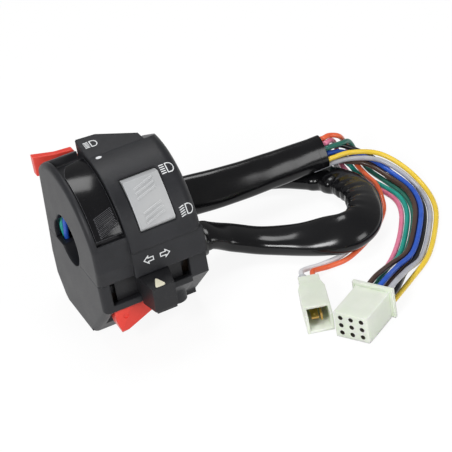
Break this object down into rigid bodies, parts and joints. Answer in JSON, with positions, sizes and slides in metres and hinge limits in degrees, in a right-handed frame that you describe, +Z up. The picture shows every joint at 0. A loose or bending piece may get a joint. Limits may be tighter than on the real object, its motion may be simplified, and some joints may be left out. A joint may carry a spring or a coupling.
{
  "type": "handlebar switch cluster",
  "caption": "Split plastic switch housing clamped on a handlebar, with dip rocker, turn slide, choke, horn and pass levers, and a sleeved cable ending in plugs.",
  "frame": {"origin": "on the handlebar's axis, at the middle of the housing's width", "axes": "+X along the bar towards the cable outlet, -Y towards the rider, +Z up; it stands on its flat bottom"},
  "size_m": [0.1593, 0.1565, 0.0764],
  "materials": {
    "shell_plastic": "satin, fine moulded grain",
    "knob_plastic": "satin",
    "choke_plastic": "gloss",
    "rocker_plastic": "satin",
    "lever_plastic": "satin",
    "boot_rubber": "matte",
    "sleeve_vinyl": "soft gloss, creased",
    "connector_nylon": "milky, slightly clear",
    "tube_vinyl": "satin",
    "steel": "zinc plated",
    "spring_steel": "bright",
    "brass": "plain",
    "tinned_brass": "tinned",
    "contact_board": "matte",
    "shoe_nylon": "matte",
    "wire_yellow": "satin",
    "wire_grey": "satin",
    "wire_black": "satin",
    "wire_blue": "satin",
    "wire_brown": "satin",
    "wire_green": "satin",
    "wire_teal": "satin",
    "wire_pink": "satin",
    "wire_rust": "satin",
    "wire_orange": "satin",
    "wire_white": "satin"
  },
  "bodies": {
    "housing": {"upper_shell": "shell_plastic", "lower_shell": "shell_plastic", "housing_screws": "steel", "cable_boot": "boot_rubber", "dip_pin": "steel", "dip_base": "contact_board", "dip_contacts": "brass", "turn_base": "contact_board", "turn_contacts": "brass", "turn_base_screws": "steel", "horn_pin": "steel", "horn_spring": "spring_steel", "horn_contact": "brass", "pass_pin": "steel", "pass_spring": "spring_steel", "pass_contact": "brass", "inner_wire_teal": "wire_teal", "inner_wire_blue": "wire_blue", "inner_wire_orange": "wire_orange", "cable_sleeve": "sleeve_vinyl", "nine_way_housing": "connector_nylon", "nine_way_terminals": "tinned_brass", "two_way_housing": "connector_nylon", "two_way_blades": "brass", "two_way_tube": "tube_vinyl", "wire_yellow": "wire_yellow", "wire_grey": "wire_grey", "wire_black": "wire_black", "wire_blue": "wire_blue", "wire_brown": "wire_brown", "wire_green": "wire_green", "wire_teal": "wire_teal", "wire_pink": "wire_pink", "wire_rust": "wire_rust", "wire_orange": "wire_orange", "wire_white": "wire_white"},
    "choke": {"choke_lever": "choke_plastic", "choke_shoe": "shoe_nylon", "choke_screw": "steel"},
    "dip": {"dip_rocker": "rocker_plastic", "dip_plunger": "brass", "dip_spring": "spring_steel"},
    "turn": {"turn_knob": "knob_plastic", "turn_carriage": "knob_plastic", "turn_wiper": "brass"},
    "horn": {"horn_lever": "lever_plastic"},
    "pass": {"pass_lever": "lever_plastic"}
  },
  "joints": [
    {"name": "choke_turn", "type": "hinge", "parent": "housing", "child": "choke", "pos_m": [0, 0, 0], "axis": [-1, 0, 0], "range_deg": [0, 14]},
    {"name": "dip_rock", "type": "hinge", "parent": "housing", "child": "dip", "pos_m": [0.0055, -0.02053, 0.01753], "axis": [-1, 0, 0], "range_deg": [0, 10]},
    {"name": "turn_slide", "type": "slide", "parent": "housing", "child": "turn", "axis": [1, 0, 0], "range_m": [-0.004, 0.004]},
    {"name": "horn_press", "type": "hinge", "parent": "housing", "child": "horn", "pos_m": [0.003, -0.0197, -0.02445], "axis": [0, 0, -1], "range_deg": [0, 5], "stiffness_Nm_per_rad": 0.2, "springref_deg": -5.16},
    {"name": "pass_press", "type": "hinge", "parent": "housing", "child": "pass", "pos_m": [0.007, 0.024, 0.0172], "axis": [0, 0, 1], "range_deg": [0, 8], "stiffness_Nm_per_rad": 0.15, "springref_deg": -4.58}
  ]
}
